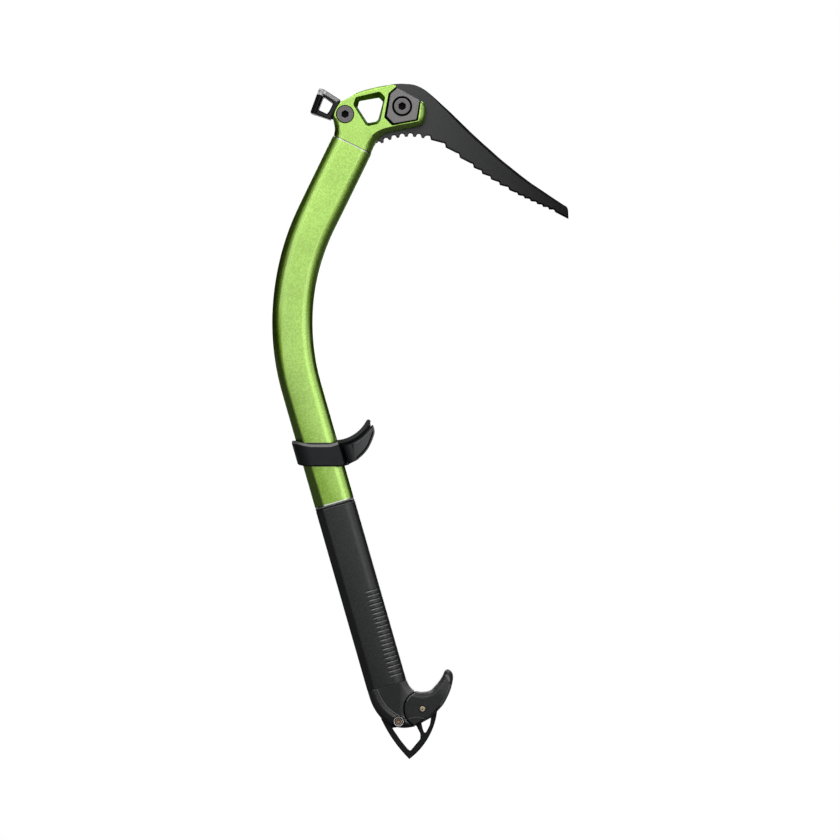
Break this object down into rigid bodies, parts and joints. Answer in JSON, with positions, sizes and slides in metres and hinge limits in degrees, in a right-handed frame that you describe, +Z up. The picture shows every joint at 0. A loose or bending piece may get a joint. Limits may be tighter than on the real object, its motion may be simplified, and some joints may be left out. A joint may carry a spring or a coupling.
{
  "type": "ice climbing tool",
  "caption": "Curved hand tool for ice climbing with a toothed pick, a small hammer, a sliding finger rest with a flick lever, a rubber grip, a jointed pommel horn and a spike.",
  "frame": {"origin": "middle of the head window, on the middle plane of the tool", "axes": "+X from the hammer towards the pick, +Z up from the spike towards the head, +Y to the side away from the pictured one"},
  "size_m": [0.2195, 0.0272, 0.4997],
  "materials": {
    "green_metal": "satin green anodised",
    "plug_metal": "bare machined",
    "dark_steel": "dark phosphated",
    "grey_steel": "satin grey",
    "black_plastic": "semi-matt moulded",
    "grip_rubber": "matt moulded",
    "brass_metal": "satin"
  },
  "bodies": {
    "tool": {"shaft": "green_metal", "head": "green_metal", "pick": "dark_steel", "pick_weight_near": "grey_steel", "pick_weight_far": "grey_steel", "pick_bolt": "grey_steel", "pick_nut": "grey_steel", "hammer": "dark_steel", "hammer_bolt": "grey_steel", "hammer_nut": "grey_steel", "grip": "grip_rubber", "shaft_plug": "plug_metal", "tang_pin": "grey_steel", "spike": "dark_steel", "pommel_base": "black_plastic", "pommel_sleeve": "grey_steel", "pommel_screw": "brass_metal", "horn_pin": "brass_metal", "horn_washers": "grey_steel"},
    "rest": {"rest_clamp": "black_plastic", "rest_liner": "grip_rubber", "rest_barrel": "grey_steel", "rest_screw": "grey_steel"},
    "lever": {"rest_lever": "black_plastic"},
    "horn": {"horn": "black_plastic"}
  },
  "joints": [
    {"name": "rest_slide", "type": "slide", "parent": "tool", "child": "rest", "axis": [-0.2756, 0, 0.9613], "range_m": [-0.02, 0.03]},
    {"name": "lever_swing", "type": "hinge", "parent": "rest", "child": "lever", "pos_m": [-0.01641, -0.0085, -0.24913], "axis": [0.2756, 0, -0.9613], "range_deg": [0, 110]},
    {"name": "horn_tilt", "type": "hinge", "parent": "tool", "child": "horn", "pos_m": [0.03784, 0, -0.44341], "axis": [0, -1, 0], "range_deg": [-12, 12]}
  ]
}
